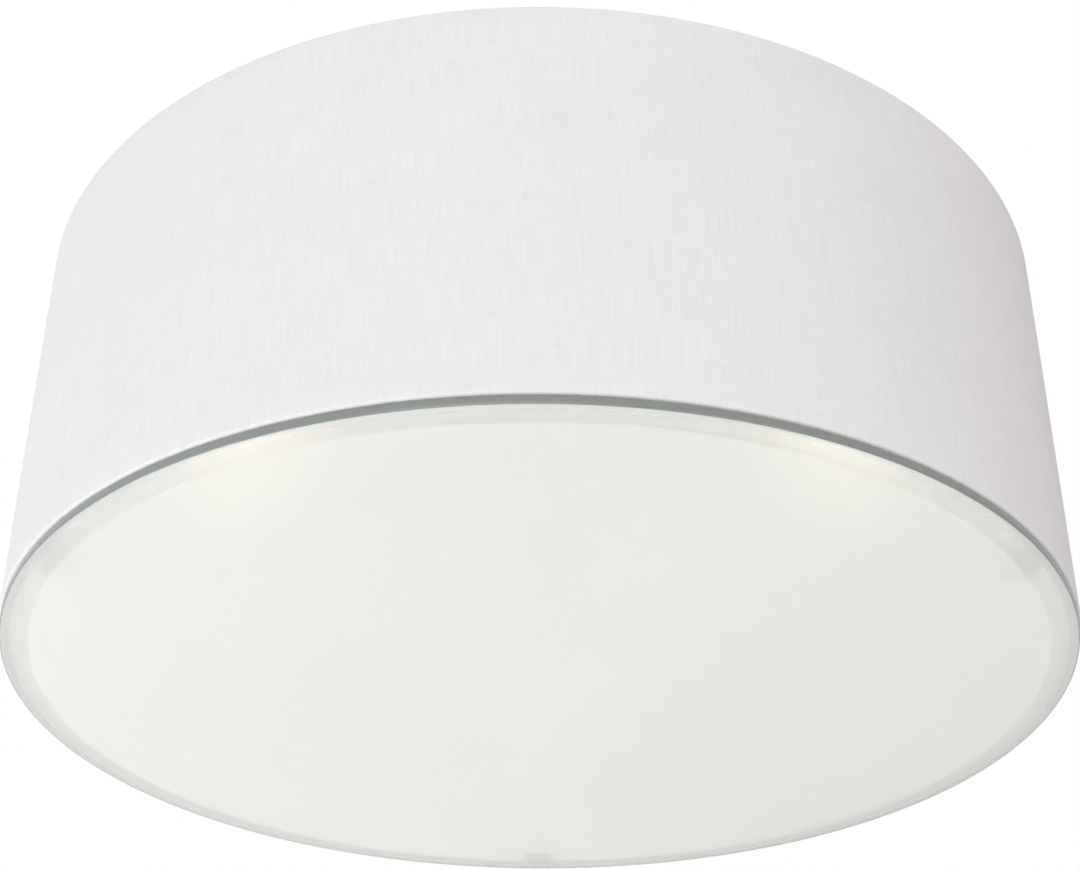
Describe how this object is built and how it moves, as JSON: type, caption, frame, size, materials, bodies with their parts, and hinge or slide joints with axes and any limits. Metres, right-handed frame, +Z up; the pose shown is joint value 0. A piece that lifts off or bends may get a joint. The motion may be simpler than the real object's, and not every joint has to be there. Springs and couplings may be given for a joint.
{
  "type": "flush ceiling light",
  "caption": "Round flush ceiling light: a white fabric drum shade on a steel ceiling plate, closed below by a satin glass disc held on magnets.",
  "frame": {"origin": "centre of the ceiling plate's top face, on the ceiling plane", "axes": "+Z up, out of the ceiling plate's top face; +X along the line of the two screw slots"},
  "size_m": [0.4, 0.4002, 0.1583],
  "materials": {
    "white_linen": "matt linen weave, laminated",
    "white_liner": "translucent white sheet",
    "satin_glass": "satin faces, ground edge with a green tint",
    "white_paint": "satin powder coat",
    "zinc_steel": "bright zinc plate",
    "nickel": "nickel plate",
    "brass": "bare brass",
    "brass_screw": "bare brass",
    "white_nylon": "moulded nylon",
    "white_holder": "moulded thermoset",
    "ceramic": "unglazed steatite",
    "grey_rubber": "matt",
    "lead_sheath": "silicone sheath",
    "earth_sheath": "green and yellow sheath",
    "cap_insulator": "black fused glass with a tin contact",
    "bulb_plastic": "moulded",
    "board_aluminium": "white-coated board with yellow emitters",
    "bulb_opal": "opal diffusing dome"
  },
  "bodies": {
    "fixture": {"ceiling_plate": "white_paint", "cable_grommet": "grey_rubber", "terminal_block": "white_nylon", "terminal_barrels": "brass", "terminal_screws": "zinc_steel", "block_screws": "zinc_steel", "earth_screw": "brass_screw", "earth_tag": "brass", "earth_lead": "earth_sheath", "lamp_bracket_1": "zinc_steel", "lamp_bracket_2": "zinc_steel", "lamp_bracket_3": "zinc_steel", "bracket_screws": "zinc_steel", "holder_nipples": "brass", "nipple_nuts": "brass", "lampholder_1": "white_holder", "lampholder_2": "white_holder", "lampholder_3": "white_holder", "contact_base_1": "ceramic", "contact_base_2": "ceramic", "contact_base_3": "ceramic", "screw_shell_1": "nickel", "screw_shell_2": "nickel", "screw_shell_3": "nickel", "centre_contact_1": "brass", "centre_contact_2": "brass", "centre_contact_3": "brass", "lamp_lead_1": "lead_sheath", "lamp_lead_2": "lead_sheath", "lamp_lead_3": "lead_sheath", "lead_clip": "white_nylon", "shade_studs": "zinc_steel", "shade_frame": "white_paint", "frame_washers": "zinc_steel", "shade_liner": "white_liner", "shade_fabric": "white_linen", "bottom_ring": "white_paint", "magnet_cups": "zinc_steel", "magnets": "nickel"},
    "diffuser": {"diffuser_glass": "satin_glass", "keeper_discs": "white_paint"},
    "bulb_1": {"bulb_foot_1": "cap_insulator", "bulb_cap_1": "nickel", "bulb_body_1": "bulb_plastic", "led_board_1": "board_aluminium", "bulb_dome_1": "bulb_opal"},
    "nut_1": {"thumb_nut_1": "nickel"},
    "bulb_2": {"bulb_foot_2": "cap_insulator", "bulb_cap_2": "nickel", "bulb_body_2": "bulb_plastic", "led_board_2": "board_aluminium", "bulb_dome_2": "bulb_opal"},
    "nut_2": {"thumb_nut_2": "nickel"},
    "bulb_3": {"bulb_foot_3": "cap_insulator", "bulb_cap_3": "nickel", "bulb_body_3": "bulb_plastic", "led_board_3": "board_aluminium", "bulb_dome_3": "bulb_opal"},
    "nut_3": {"thumb_nut_3": "nickel"}
  },
  "joints": [
    {"name": "diffuser_drop", "type": "slide", "parent": "fixture", "child": "diffuser", "axis": [0, 0, -1], "range_m": [0, 0.12]},
    {"name": "bulb_1_out", "type": "slide", "parent": "fixture", "child": "bulb_1", "axis": [0, 1, 0], "range_m": [0, 0.027]},
    {"name": "bulb_2_out", "type": "slide", "parent": "fixture", "child": "bulb_2", "axis": [-0.866, -0.5, 0], "range_m": [0, 0.027]},
    {"name": "bulb_3_out", "type": "slide", "parent": "fixture", "child": "bulb_3", "axis": [0.866, -0.5, 0], "range_m": [0, 0.027]},
    {"name": "nut_1_turn", "type": "hinge", "parent": "fixture", "child": "nut_1", "pos_m": [0.1299, 0.075, -0.0204], "axis": [0, 0, 1], "continuous": true},
    {"name": "nut_2_turn", "type": "hinge", "parent": "fixture", "child": "nut_2", "pos_m": [-0.1299, 0.075, -0.0204], "axis": [0, 0, 1], "continuous": true},
    {"name": "nut_3_turn", "type": "hinge", "parent": "fixture", "child": "nut_3", "pos_m": [0, -0.15, -0.0204], "axis": [0, 0, 1], "continuous": true}
  ]
}
